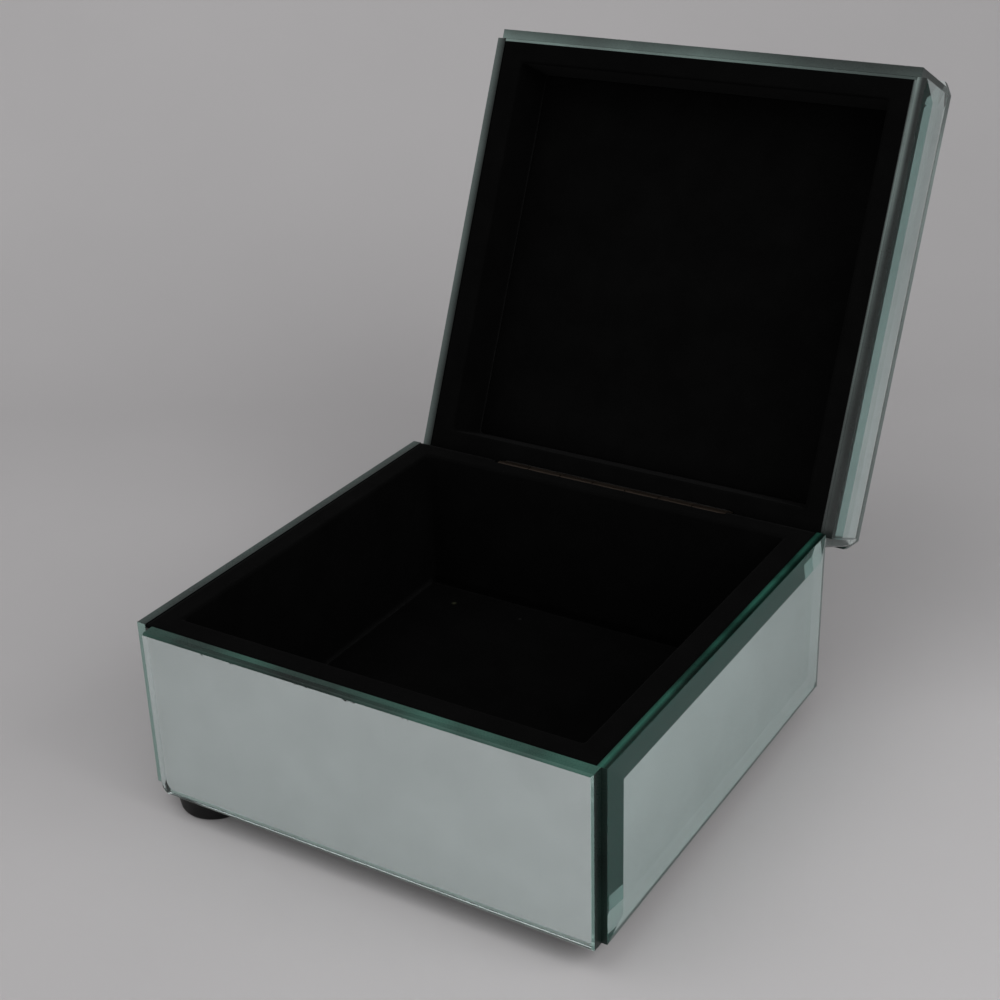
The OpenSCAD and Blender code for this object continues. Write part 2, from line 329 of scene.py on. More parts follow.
def silver_material(s):
    """Silvering on the back of the glass, a little cloudy in places, blackened in bites along the plain pane's top
    edge and darker along its lowest 0.7 mm.
    """
    made, tree = new_material("mirror_silvering")
    place = add_node(tree, "ShaderNodeTexCoord").outputs["Object"]
    # clouds about 15 mm across
    cloud = add_node(tree, "ShaderNodeTexNoise", {"Vector": place, "Scale": 60.0, "Detail": 4.0}).outputs["Fac"]
    silver = tuple(s.silver)
    colour = add_node(tree, "ShaderNodeValToRGB", {"Fac": cloud}, [(0.35, shade(silver, 0.95)), (0.65, silver)])
    # the plain pane's silver has blackened along its top edge, in bites about 5 mm long and up to 1.6 mm deep
    plain = add_node(tree, "ShaderNodeAttribute", attribute_name="plain").outputs["Fac"]
    bites = add_node(
        tree, "ShaderNodeTexNoise", {"Vector": place, "Scale": 210.0, "Detail": 4.0, "Roughness": 0.6}
    ).outputs["Fac"]
    height = add_node(tree, "ShaderNodeSeparateXYZ", {"Vector": place}).outputs["Z"]
    foot, top = (corner[2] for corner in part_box("base_mirror_front"))
    depth = add_node(
        tree,
        "ShaderNodeMapRange",
        {"Value": bites, "From Min": 0.35, "From Max": 0.75, "To Min": 0.0, "To Max": 1.6 * MM},
    ).outputs["Result"]
    reach = add_node(tree, "ShaderNodeMath", {0: height, 1: depth}, operation="ADD").outputs[0]
    black = add_node(
        tree,
        "ShaderNodeMapRange",
        {"Value": reach, "From Min": top - 0.5 * MM, "From Max": top - 0.2 * MM, "To Min": 0.0, "To Max": 1.0},
    ).outputs["Result"]
    # it is dull along its lowest 0.7 mm, and a little dull all over
    dull = add_node(
        tree,
        "ShaderNodeMapRange",
        {"Value": height, "From Min": foot + 0.6 * MM, "From Max": foot + 0.8 * MM, "To Min": 0.2, "To Max": 0.06},
    ).outputs["Result"]
    # darker in bites along the top edge and along the lowest 0.7 mm
    aged = add_node(tree, "ShaderNodeMath", {0: black, 1: dull}, operation="MAXIMUM").outputs[0]
    aged = add_node(tree, "ShaderNodeMath", {0: aged, 1: plain}, operation="MULTIPLY").outputs[0]
    tone = add_node(
        tree, "ShaderNodeMix", {"Factor": aged, "A": colour.outputs["Color"], "B": rgb("26302e")}, data_type="RGBA"
    )
    metal = add_node(
        tree, "ShaderNodeBsdfPrincipled", {"Base Color": tone.outputs["Result"], "Metallic": 1.0, "Roughness": 0.015}
    )
    finish_material(tree, metal.outputs[0])
    return made


def velvet_material(s):
    """Short black velvet: nearly no light back, a faint sheen along the pile and two specks of lint."""
    made, tree = new_material("black_velvet_short_pile")
    place = add_node(tree, "ShaderNodeTexCoord").outputs["Object"]
    # pile about 0.25 mm, brushed patches about 15 mm
    pile = add_node(tree, "ShaderNodeTexNoise", {"Vector": place, "Scale": 4000.0, "Detail": 2.0}).outputs["Fac"]
    brushed = add_node(
        tree, "ShaderNodeTexNoise", {"Vector": place, "Scale": 70.0, "Detail": 5.0, "Roughness": 0.6}
    ).outputs["Fac"]
    colour = add_node(
        tree, "ShaderNodeValToRGB", {"Fac": brushed}, [(0.35, shade(s.pile, 0.8)), (0.7, shade(s.pile, 1.25))]
    ).outputs["Color"]
    for spot, size, code in LINT:
        away = add_node(tree, "ShaderNodeVectorMath", {0: place, 1: spot}, operation="DISTANCE").outputs["Value"]
        near = add_node(
            tree,
            "ShaderNodeMapRange",
            {"Value": away, "From Min": 0.15 * size, "From Max": 0.6 * size, "To Min": 1.0, "To Max": 0.0},
        ).outputs["Result"]
        colour = add_node(
            tree, "ShaderNodeMix", {"Factor": near, "A": colour, "B": rgb(code)}, data_type="RGBA"
        ).outputs["Result"]
    bump = add_node(tree, "ShaderNodeBump", {"Height": pile, "Strength": 0.5, "Distance": 0.2 * MM})
    cloth = add_node(
        tree,
        "ShaderNodeBsdfPrincipled",
        {
            "Base Color": colour,
            "Roughness": 0.95,
            "Specular IOR Level": 0.02,
            "Sheen Weight": 0.008,
            "Sheen Roughness": 0.35,
            "Normal": bump.outputs["Normal"],
        },
    )
    finish_material(tree, cloth.outputs[0])
    return made


def brass_material(name, colour, polish):
    """Brass sheet, dulled by handling."""
    made, tree = new_material(name)
    place = add_node(tree, "ShaderNodeTexCoord").outputs["Object"]
    # tarnish in spots about 4 mm across
    tarnish = add_node(
        tree, "ShaderNodeTexNoise", {"Vector": place, "Scale": 260.0, "Detail": 6.0, "Roughness": 0.7}
    ).outputs["Fac"]
    tone = add_node(
        tree, "ShaderNodeValToRGB", {"Fac": tarnish}, [(0.3, shade(colour, 0.35)), (0.62, tuple(colour))]
    ).outputs["Color"]
    rough = add_node(
        tree,
        "ShaderNodeMapRange",
        {"Value": tarnish, "From Min": 0.3, "From Max": 0.7, "To Min": polish + 0.2, "To Max": polish},
    ).outputs["Result"]
    # drawn lines about 0.2 mm apart along the hinge
    lines = add_node(tree, "ShaderNodeMapping", {"Vector": place, "Scale": (60.0, 4000.0, 4000.0)}).outputs["Vector"]
    drawn = add_node(tree, "ShaderNodeTexNoise", {"Vector": lines, "Scale": 1.0, "Detail": 2.0}).outputs["Fac"]
    bump = add_node(tree, "ShaderNodeBump", {"Height": drawn, "Strength": 0.2, "Distance": 0.05 * MM})
    metal = add_node(
        tree,
        "ShaderNodeBsdfPrincipled",
        {"Base Color": tone, "Metallic": 1.0, "Roughness": rough, "Normal": bump.outputs["Normal"]},
    )
    finish_material(tree, metal.outputs[0])
    return made


def rubber_material(s):
    """Moulded black rubber with a fine matt grain and a little dust."""
    made, tree = new_material("moulded_black_rubber")
    place = add_node(tree, "ShaderNodeTexCoord").outputs["Object"]
    # grain about 0.3 mm, dust in patches about 5 mm
    grain = add_node(tree, "ShaderNodeTexNoise", {"Vector": place, "Scale": 3000.0, "Detail": 2.0}).outputs["Fac"]
    dust = add_node(tree, "ShaderNodeTexNoise", {"Vector": place, "Scale": 220.0, "Detail": 5.0}).outputs["Fac"]
    black = tuple(s.rubber)
    tone = add_node(
        tree, "ShaderNodeValToRGB", {"Fac": dust}, [(0.45, black), (0.75, shade(black, 1.9))]
    ).outputs["Color"]
    rough = add_node(
        tree, "ShaderNodeMapRange", {"Value": dust, "From Min": 0.4, "From Max": 0.7, "To Min": 0.42, "To Max": 0.65}
    ).outputs["Result"]
    bump = add_node(tree, "ShaderNodeBump", {"Height": grain, "Strength": 0.3, "Distance": 0.08 * MM})
    rubber = add_node(
        tree,
        "ShaderNodeBsdfPrincipled",
        {"Base Color": tone, "Roughness": rough, "Specular IOR Level": 0.15, "Normal": bump.outputs["Normal"]},
    )
    finish_material(tree, rubber.outputs[0])
    return made


def board_material(s):
    """Fibreboard stained matt black."""
    made, tree = new_material("black_stained_fibreboard")
    place = add_node(tree, "ShaderNodeTexCoord").outputs["Object"]
    # pressed fibres about 1 mm long, in blotches about 30 mm across
    laid = add_node(tree, "ShaderNodeMapping", {"Vector": place, "Scale": (900.0, 1500.0, 2600.0)}).outputs["Vector"]
    fibre = add_node(
        tree, "ShaderNodeTexNoise", {"Vector": laid, "Scale": 1.0, "Detail": 6.0, "Roughness": 0.7}
    ).outputs["Fac"]
    blotch = add_node(tree, "ShaderNodeTexNoise", {"Vector": place, "Scale": 35.0, "Detail": 3.0}).outputs["Fac"]
    stain = tuple(s.stain)
    mixed = add_node(tree, "ShaderNodeMath", {0: fibre, 1: blotch}, operation="MULTIPLY").outputs[0]
    tone = add_node(
        tree, "ShaderNodeValToRGB", {"Fac": mixed}, [(0.15, stain), (0.45, shade(stain, 1.8))]
    ).outputs["Color"]
    rough = add_node(
        tree, "ShaderNodeMapRange", {"Value": fibre, "From Min": 0.3, "From Max": 0.7, "To Min": 0.7, "To Max": 0.9}
    ).outputs["Result"]
    bump = add_node(tree, "ShaderNodeBump", {"Height": fibre, "Strength": 0.35, "Distance": 0.1 * MM})
    board = add_node(
        tree, "ShaderNodeBsdfPrincipled", {"Base Color": tone, "Roughness": rough, "Normal": bump.outputs["Normal"]}
    )
    finish_material(tree, board.outputs[0])
    return made


def paper_material(s):
    """Pale backdrop paper with a barely visible tooth, clear when it is looked at from behind or below."""
    made, tree = new_material("pale_backdrop_paper")
    place = add_node(tree, "ShaderNodeTexCoord").outputs["Object"]
    # clouds of tooth about 100 mm across
    tooth = add_node(tree, "ShaderNodeTexNoise", {"Vector": place, "Scale": 9.0, "Detail": 4.0}).outputs["Fac"]
    paper = tuple(s.paper)
    tone = add_node(tree, "ShaderNodeValToRGB", {"Fac": tooth}, [(0.3, shade(paper, 0.97)), (0.7, paper)])
    sheet = add_node(
        tree,
        "ShaderNodeBsdfPrincipled",
        {"Base Color": tone.outputs["Color"], "Roughness": 0.85, "Specular IOR Level": 0.15},
    )
    behind = add_node(tree, "ShaderNodeNewGeometry").outputs["Backfacing"]
    clear = add_node(tree, "ShaderNodeBsdfTransparent")
    both = add_node(tree, "ShaderNodeMixShader", {0: behind, 1: sheet.outputs[0], 2: clear.outputs[0]})
    finish_material(tree, both.outputs[0])
    return made


# ---- mesh helpers ----


def put(name, bm, body, materials, nodes=()):
    """Turns a bmesh into a piece that rides on its body."""
    mesh = bpy.data.meshes.new(name)
    bm.to_mesh(mesh)
    bm.free()
    for made in materials:
        mesh.materials.append(made)
    piece = bpy.data.objects.new(name, mesh)
    bpy.context.scene.collection.objects.link(piece)
    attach(piece, body)
    if nodes:
        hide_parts(*nodes)
    return piece


def node_bmesh(node):
    """The CAD node's solid as a clean bmesh with whole faces."""
    bm = bmesh.new()
    bm.from_mesh(frame["nodes"][node].data)
    bmesh.ops.remove_doubles(bm, verts=bm.verts, dist=0.001 * MM)
    bmesh.ops.dissolve_limit(bm, angle_limit=math.radians(0.5), verts=bm.verts, edges=bm.edges)
    bmesh.ops.recalc_face_normals(bm, faces=bm.faces)
    return bm


def shut_box(node):
    """(low, high) corners of a lid node with the lid shut."""
    points = [TO_SHUT @ v.co for v in frame["nodes"][node].data.vertices]
    return [Vector([pick(p[i] for p in points) for i in range(3)]) for pick in (min, max)]


# ---- glass ----

# Corners of the lid's glass that are knocked off: the panes, the end (-1 front, 1 hinge), along the side and across.
KNOCKED = (
    (("lid_mirror_top",), -1, 3.6 * MM, 2.0 * MM),
    (("lid_mirror_top", "lid_mirror_back"), 1, 3.2 * MM, 3.2 * MM),
)
# These two lid panes have a strip beside them, over the edge of the board.
LAPPED = ("lid_mirror_front", "lid_mirror_right")
GLASS_NODES = {
    "base": ("base_mirror_front", "base_mirror_back", "base_mirror_left", "base_mirror_right"),
    "lid": ("lid_mirror_top", "lid_mirror_front", "lid_mirror_back", "lid_mirror_left", "lid_mirror_right"),
}
# Places in each slot of a pane's materials
CLEAR, SILVERED, CUT = 0, 1, 2
# A pane's faces are told apart by how far they turn from its back: past these they are flat, or cut edges.
FLAT, SIDEWAYS = 0.99, 0.3
# Corners within this of a plane count as lying in it, and blocks stand this far clear of what is beside them.
NEAR, CLEARANCE = 0.1 * MM, 0.02 * MM
# Faces that turn by less than this are one face.
SAME_PLANE = math.radians(0.5)
# The cut edges' painted light and shade change at cuts this far apart along a pane, and at these parts of their
# thickness.
SCORE_STEP, SCORE_PARTS = 16.5 * MM, (0.15, 0.35, 0.6, 0.8)
PLAIN_EDGE, BEVELLED_EDGE = 4 * MM, 2.8 * MM
# Rounding of the front pane's lower left corner, and the black strip of its lower edge next to the silvering
CORNER_ROUND, BLACK_STRIP = 2.2 * MM, 0.4 * MM
# Length over which the lid's right bevel is drawn out to the hinge end
RUN_OUT = 8 * MM
# Height of the strips beside the lid's panes, and half the length of the front one
STRIP_H, STRIP_HALF = 0.9 * MM, 67.1 * MM


def whole(bm):
    """All the geometry of a bmesh."""
    return bm.verts[:] + bm.edges[:] + bm.faces[:]


def score_edges(bm, node, body):
    """Splits a pane across and along its cut edges, so that their painted light and shade can change over them."""
    low, high = shut_box(node) if body == "lid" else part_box(node)
    side = node.split("_")[-1]
    if side == "back":
        return
    across, along, sign = (1, 0, -1) if side == "front" else (0, 1, -1 if side == "left" else 1)
    cuts = [(along, step * SCORE_STEP) for step in range(-3, 4)]
    if side != "top":
        seat = min(abs(low[across]), abs(high[across]))
        thick = PLAIN_EDGE if side == "front" else BEVELLED_EDGE
        cuts += [(across, sign * (seat + thick * part)) for part in SCORE_PARTS]
    turn = TO_OPEN.to_3x3() if body == "lid" else Matrix.Identity(3)
    for axis, value in cuts:
        normal = Vector([1.0 if i == axis else 0.0 for i in range(3)])
        place = TO_OPEN @ (normal * value) if body == "lid" else normal * value
        bmesh.ops.bisect_plane(bm, geom=whole(bm), plane_co=place, plane_no=turn @ normal)


def between(value, table):
    """A straight-line reading of a small table of (place, value)."""
    for (a, low), (b, high) in zip(table, table[1:]):
        if value <= b:
            return low + (high - low) * min(1.0, max(0.0, (value - a) / (b - a)))
    return table[-1][1]


def painted_edge_shade(node, point, normal):
    """Painted light and shade of a cut edge at a point of the shut box, and how grey its painted reflection makes
    it. The tables' places are millimetres.
    """
    x, y = point.x / MM, point.y / MM
    if node == "lid_mirror_left":
        return between(-x, [(67.2, 0.05), (70.0, 0.8)]), 1.0
    if node == "lid_mirror_right":
        line = between(y, [(-66, 1.2), (-40, 0.85), (-10, 0.4), (66, 0.2)])
        return between(x, [(66.4, 0.1), (67.0, line), (67.7, line), (68.5, 0.1), (70.0, 0.12)]), 1.0
    if node == "lid_mirror_front":
        line = between(x, [(-68, 1.3), (-55, 0.7), (0, 0.7), (30, 0.35), (68, 0.3)])
        return line * between(-y, [(65.2, 1.4), (70, 0.4)]), 0.8
    if node == "lid_mirror_top":
        return between(y, [(-68, 0.5), (-62, 0.7), (-49, 1.8), (0, 1.4), (66, 1.0)]), 1.0
    if node == "lid_mirror_back":
        return 0.8, 1.0
    if node == "base_mirror_front" and normal.z < -SIDEWAYS:
        return 0.7, 0.9
    if node == "base_mirror_front" and normal.z > SIDEWAYS:
        line = [(-65, 0.8), (-50, 0.6), (-35, 0.28), (-15, 0.22), (0, 0.42), (35, 0.88), (68, 1.0)]
        return between(x, line), 0.15
    if node == "base_mirror_right" and normal.z > SIDEWAYS:
        return between(x, [(67.2, 0.4), (67.6, 0.9), (68.2, 1.25), (68.9, 0.5), (69.4, 0.12), (70.0, 0.25)]), 0.0
    if node == "base_mirror_left" and normal.z > SIDEWAYS:
        return between(-x, [(67.2, 0.25), (69.0, 0.5), (70.0, 0.6)]), 0.7
    # elsewhere the edges are painted darker on the base than on the lid
    return 0.2 if node.startswith("base") else 0.5, 0.3


def add_block(bm, node, body, low, high, painted_light, painted_grey):
    """A plain block of edge material between two corners of the shut box."""
    made = bmesh.ops.create_cube(bm, size=1.0)["verts"]
    for vert in made:
        vert.co = Vector([low[i] + (high[i] - low[i]) * (vert.co[i] + 0.5) for i in range(3)])
    faces = {f for v in made for f in v.link_faces}
    for face in faces:
        face.normal_update()
        face.material_index = CUT
        # the block is painted with the cut edges' light, shade and grey reflection
        for corner in face.loops:
            corner[painted_light], corner[painted_grey] = painted_edge_shade(node, corner.vert.co, face.normal)
    if body == "lid":
        for vert in made:
            vert.co = TO_OPEN @ vert.co


def square_plain_end(bm):
    """Cuts the front pane's left end square, rounds its lower corner and returns the edges that stay sharp."""
    end, face_y = min(v.co.x for v in bm.verts), min(v.co.y for v in bm.verts)
    for vert in bm.verts:
        if vert.co.x < end + 1 * MM and vert.co.y < face_y + NEAR:
            vert.co.x = end
    bmesh.ops.dissolve_limit(bm, angle_limit=SAME_PLANE, verts=bm.verts, edges=bm.edges)
    foot = min(v.co.z for v in bm.verts)
    corner = [e for e in bm.edges if all(v.co.x < end + NEAR and v.co.z < foot + 0.8 * MM for v in e.verts)]
    bmesh.ops.bevel(bm, geom=corner, offset=CORNER_ROUND, segments=4, affect="EDGES", profile=0.5)
    return [e for e in bm.edges if all(v.co.x < end + NEAR and v.co.y < face_y + NEAR for v in e.verts)]


def run_out_bevel(bm, node):
    """Draws a lid pane's bevel out straight at the hinge end."""
    high = shut_box(node)[1]
    for vert in bm.verts:
        point = TO_SHUT @ vert.co
        if point.x > high.x - NEAR and point.y > high.y - RUN_OUT:
            point.y = high.y
            vert.co = TO_OPEN @ point
    bmesh.ops.dissolve_limit(bm, angle_limit=SAME_PLANE, verts=bm.verts, edges=bm.edges)


def knock_off(bm, end, along, across):
    """Takes off one corner of the lid's glass on the right, at the front (end -1) or at the hinge (end 1)."""
    low, high = shut_box("lid_mirror_top")
    y = low.y if end < 0 else high.y
    tip, inner = Vector((high.x, y - end * along, 0)), Vector((high.x - across, y, 0))
    away = (inner - tip).cross(Vector((0, 0, 1))).normalized()
    if away.x < 0:
        away.negate()
    bmesh.ops.bisect_plane(
        bm, geom=whole(bm), plane_co=TO_OPEN @ tip, plane_no=TO_OPEN.to_3x3() @ away, clear_outer=True
    )
    bmesh.ops.holes_fill(bm, edges=[e for e in bm.edges if e.is_boundary], sides=0)
    bmesh.ops.recalc_face_normals(bm, faces=bm.faces)


def make_pane(node, body, s, glass, silver, cut):
    """A pane from its CAD solid: softened edges, ground cut faces, bevels or arrises, and a silvered back."""
    bm = node_bmesh(node)
    back = max(bm.faces, key=lambda f: f.calc_area())
    out = back.normal.copy()
    plain = node == "base_mirror_front"
    inset = s.plain_glass if plain else s.silver_inset
    for vert in back.verts:
        vert.co -= out * inset
    seat = back.calc_center_median()
    sharp = square_plain_end(bm) if plain else []
    if node == "lid_mirror_right":
        run_out_bevel(bm, node)
    bm.normal_update()
    back = max(bm.faces, key=lambda f: f.calc_area() if f.normal.dot(out) > 0.9 else 0)
    soft = [e for e in bm.edges if back not in e.link_faces and e not in sharp]
    bmesh.ops.bevel(bm, geom=soft, offset=s.arris, segments=2, affect="EDGES", profile=0.6)
    for nodes, end, along, across in KNOCKED:
        if node in nodes:
            knock_off(bm, end, along, across)
    if plain:
        bmesh.ops.bisect_plane(bm, geom=whole(bm), plane_co=seat - out * BLACK_STRIP, plane_no=out)
    # how strongly each face carries the painted bevel glow
    bevel = bm.faces.layers.float.new("bevel")
    frost = bm.faces.layers.float.new("frost")
    mark = bm.faces.layers.float.new("plain")
    # painted light and shade of the cut edges, one value per corner
    painted_light = bm.loops.layers.float.new("painted_light")
    # how grey each cut edge is painted, as a reflection
    painted_grey = bm.loops.layers.float.new("painted_grey")
    score_edges(bm, node, body)
    for face in bm.faces:
        facing = face.normal.dot(out)
        face.material_index = SILVERED if facing > FLAT else CUT if abs(facing) < SIDEWAYS else CLEAR
        # the bevels are not quite square to the back; their painted green glow is stronger on the base than on the
        # lid
        face[bevel] = (1.0 if body == "base" else 0.3) if -0.995 < facing < -SIDEWAYS and not plain else 0.0
        face[mark] = 1.0 if plain else 0.0
        if plain and -0.9 < facing < SIDEWAYS:
            # the plain pane's lower edge and left end are polished, and its lower arris is frosted
            low, left, right = face.normal.z < -SIDEWAYS, face.normal.x < -SIDEWAYS, face.normal.x > SIDEWAYS
            black = low and ((face.calc_center_median() - seat).dot(out) > -0.3 * MM or left)
            polished = low or left or right and facing < -SIDEWAYS
            face.material_index = CLEAR if polished and not black else CUT
            face[frost] = 0.0 if facing > -SIDEWAYS or left else 1.0 if low else 0.4 if right else 0.0
        if node == "base_mirror_left" and face.normal.y < -0.9:
            face.material_index, face[frost] = CLEAR, 0.5
    # the cut faces take their painted light, shade and grey reflection from the tables
    for face in bm.faces:
        if face.material_index == CUT:
            for corner in face.loops:
                point = TO_SHUT @ corner.vert.co if body == "lid" else corner.vert.co
                corner[painted_light], corner[painted_grey] = painted_edge_shade(node, point, face.normal)
    low, high = (Vector(c) for c in (shut_box(node) if body == "lid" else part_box(node)))
    if plain:
        # the opaque backing behind the thinner plain glass
        low.y = high.y - s.plain_glass + CLEARANCE
        add_block(bm, node, body, low, high, painted_light, painted_grey)
    if node in LAPPED:
        # a strip beside the rim of the glass, over the edge of the board
        high.z = low.z + STRIP_H
        if node == "lid_mirror_front":
            low.y, high.y = high.y + CLEARANCE, high.y + s.lid_lap
            low.x, high.x = -STRIP_HALF, STRIP_HALF
        else:
            low.x, high.x = low.x - s.lid_lap, low.x - CLEARANCE
            low.y, high.y = low.y + s.lid_lap, high.y - NEAR
        add_block(bm, node, body, low, high, painted_light, painted_grey)
    return put("glass_" + node, bm, body, [glass, silver, cut], [node])


class KEEPSAKE_OT_glass(bpy.types.Operator):
    """Builds the nine silvered panes"""

    bl_idname = "keepsake.glass"
    bl_label = "Mirror glass"

    def execute(self, context):
        s = context.scene.keepsake_glass
        finishes = glass_material(s), silver_material(s), edge_material(s)
        for body, nodes in GLASS_NODES.items():
            for node in nodes:
                make_pane(node, body, s, *finishes)
        return {"FINISHED"}


# ---- velvet ----

# Points along the two sides of a tray lining, and in each of its corners
COUNT_X, COUNT_Y, CORNER_TURNS = 60, 59, 5
# Rounding of the tray's inner corners, and the least that is left of it on the rim
TRAY_ROUND, RIM_ROUND = 1.4 * MM, 0.25 * MM
# Rows of points up the wall, round the fold and over the rim
WALL_ROWS, FOLD_ROWS, RIM_ROWS = 12, 6, 7
# How far the wall's velvet reaches under the panel, and how far the rim sinks towards the glass
UNDER, SINK = 0.3 * MM, 0.12 * MM
# The rim's outer edge turns down: distance short of the edge and depth below the rim, of three rows
TUCKS = ((0.25 * MM, 0.0), (0.06 * MM, 0.25 * MM), (0.05 * MM, 0.8 * MM))
# Room round the hinge leaf at its ends and in front of it, the reach of a point to the notch's end and
# the distance between the two points there
NOTCH_X, NOTCH_Y, NOTCH_REACH, NOTCH_SPLIT = 0.6 * MM, 0.35 * MM, 2.3 * MM, 0.04 * MM
# Panel linings: points a side, reach past the CAD's edge, depth and length of the turn at the edge, thickness
PANEL_COUNT, PANEL_REACH, PANEL_DROP, PANEL_TURN, PANEL_T = 60, 0.05 * MM, 0.25 * MM, 0.35 * MM, 0.4 * MM


def ring(half_x, half_y, radius):
    """Points round a rectangle with rounded corners, the same count for every size."""
    flat_x, flat_y = half_x - radius, half_y - radius
    points = []
    sides = (
        ((-flat_x, -half_y), (flat_x, -half_y), COUNT_X, -90, (flat_x, -flat_y)),
        ((half_x, -flat_y), (half_x, flat_y), COUNT_Y, 0, (flat_x, flat_y)),
        ((flat_x, half_y), (-flat_x, half_y), COUNT_X, 90, (-flat_x, flat_y)),
        ((-half_x, flat_y), (-half_x, -flat_y), COUNT_Y, 180, (-flat_x, -flat_y)),
    )
    for start, end, count, angle, centre in sides:
        for i in range(count + 1):
            t = i / count
            points.append((start[0] + (end[0] - start[0]) * t, start[1] + (end[1] - start[1]) * t))
        for i in range(1, CORNER_TURNS):
            turn = math.radians(angle + 90 * i / CORNER_TURNS)
            points.append((centre[0] + radius * math.cos(turn), centre[1] + radius * math.sin(turn)))
    return points


def tray_rows(s, deep, rim, up, width):
    """Rows of a tray lining: distance out from the inner wall and height."""
    climb = abs(rim - deep) - s.fold + UNDER
    rows = [(0.0, deep - up * UNDER + up * climb * i / WALL_ROWS) for i in range(WALL_ROWS)]
    for i in range(FOLD_ROWS + 1):
        turn = math.radians(90 * i / FOLD_ROWS)
        rows.append((s.fold * (1 - math.cos(turn)), rim - up * s.fold * (1 - math.sin(turn))))
    rows += [(s.fold + (width - s.fold - TUCKS[0][0]) * i / RIM_ROWS, rim) for i in range(1, RIM_ROWS + 1)]
    return rows + [(width - short, rim - up * down) for short, down in TUCKS[1:]]


def make_tray_lining(name, node, panel, body, s, velvet, shut):
    """Velvet up the walls and over the rim, tucked against the glass and cut away round the hinge."""
    box = shut_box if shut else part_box
    low, high = box(node)
    inner = box(panel)
    leaf = box("hinge_upper_leaf" if shut else "hinge_lower_leaf")
    rim, deep, up = (low[2], inner[0][2], -1.0) if shut else (high[2], inner[1][2], 1.0)
    in_x, in_y, out_x, out_y = inner[1][0], inner[1][1], high[0], high[1]
    lap = bpy.context.scene.keepsake_glass.lid_lap + 0.05 * MM
    notch_x, notch_y = leaf[1][0] + NOTCH_X, leaf[0][1] - NOTCH_Y
    width = out_x - in_x
    bm = bmesh.new()
    loops = []
    for offset, z in tray_rows(s, deep, rim, up, width):
        reach_y = offset * (out_y - in_y) / width
        sink = SINK * max(0.0, offset - s.fold) / width
        loop = []
        for x, y in ring(in_x + offset, in_y + reach_y, max(RIM_ROUND, TRAY_ROUND - offset)):
            # soft waves about 9 mm long
            wave = s.ripple * noise.noise(Vector((x, y, z)) * 110.0)
            place = Vector((x, y, z - up * sink))
            if offset < s.fold:
                side = Vector((x / (in_x + offset), y / (in_y + reach_y), 0.0))
                axis = Vector((round(side.x), 0, 0)) if abs(side.x) > abs(side.y) else Vector((0, round(side.y), 0))
                place -= axis * abs(wave)
            else:
                place.z -= up * abs(wave)
            if place.y > notch_y and abs(x) < notch_x + NOTCH_REACH:
                # the two points on either side of the notch's end stand close together, so that its end is square
                inside = abs(x) < notch_x
                if inside:
                    place.y = notch_y
                if abs(x) > notch_x - NOTCH_REACH:
                    place.x = math.copysign(notch_x + (0.0 if inside else NOTCH_SPLIT), x)
            if shut:
                place.x, place.y = min(place.x, out_x - lap), max(place.y, lap - out_y)
            loop.append(bm.verts.new(TO_OPEN @ place if shut else place))
        loops.append(loop)
    for lower, upper in zip(loops, loops[1:]):
        for i in range(len(lower)):
            j = (i + 1) % len(lower)
            quad = (lower[i], lower[j], upper[j], upper[i]) if up > 0 else (lower[i], upper[i], upper[j], lower[j])
            bm.faces.new(quad)
    for face in bm.faces:
        face.smooth = True
    bmesh.ops.remove_doubles(bm, verts=bm.verts, dist=0.002 * MM)
    bmesh.ops.recalc_face_normals(bm, faces=bm.faces)
    piece = put(name, bm, body, [velvet], [node])
    thick = piece.modifiers.new("card", "SOLIDIFY")
    thick.thickness = s.thickness
    thick.offset = -1.0
    return piece


def make_panel_lining(name, node, body, s, velvet, shut):
    """Velvet on the floor of the tray or inside the lid, its edges turned down and its face gently wavy."""
    low, high = shut_box(node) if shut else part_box(node)
    up = -1.0 if shut else 1.0
    face_z = low[2] if shut else high[2]
    half_x, half_y = high[0] + PANEL_REACH, high[1] + PANEL_REACH
    bm = bmesh.new()
    grid = []
    for i in range(PANEL_COUNT + 1):
        line = []
        for j in range(PANEL_COUNT + 1):
            # the points crowd towards the edges
            x = half_x * math.sin(math.pi / 2 * (2 * i / PANEL_COUNT - 1))
            y = half_y * math.sin(math.pi / 2 * (2 * j / PANEL_COUNT - 1))
            edge = min(half_x - abs(x), half_y - abs(y))
            drop = PANEL_DROP * math.exp(-edge / PANEL_TURN)
            # soft waves about 14 mm long
            wave = s.ripple * 1.3 * abs(noise.noise(Vector((x, y, 0.3 * up)) * 70.0))
            place = Vector((x, y, face_z - up * (drop + wave)))
            line.append(bm.verts.new(TO_OPEN @ place if shut else place))
        grid.append(line)
    for i in range(PANEL_COUNT):
        for j in range(PANEL_COUNT):
            corner = (grid[i][j], grid[i + 1][j], grid[i + 1][j + 1], grid[i][j + 1])
            bm.faces.new(corner if up > 0 else corner[::-1]).smooth = True
    piece = put(name, bm, body, [velvet], [node])
    thick = piece.modifiers.new("card", "SOLIDIFY")
    thick.thickness = PANEL_T
    thick.offset = -1.0
    return piece


class KEEPSAKE_OT_velvet(bpy.types.Operator):
    """Lines the tray and the lid with black velvet"""

    bl_idname = "keepsake.velvet"
    bl_label = "Velvet linings"

    def execute(self, context):
        s = context.scene.keepsake_velvet
        velvet = velvet_material(s)
        for body, board, shut in (("base", "bottom", False), ("lid", "top", True)):
            panel = body + ("_panel_lining" if shut else "_floor_lining")
            walls = make_tray_lining(f"velvet_{body}_walls", f"{body}_wall_lining", panel, body, s, velvet, shut)
            box = shut_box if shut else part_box
            low, high = box(f"{body}_wall_lining")
            flat_low, flat_high = box(panel)
            flat = make_panel_lining(f"velvet_{body}_panel", panel, body, s, velvet, shut)
        return {"FINISHED"}


# ---- carried-over solids ----


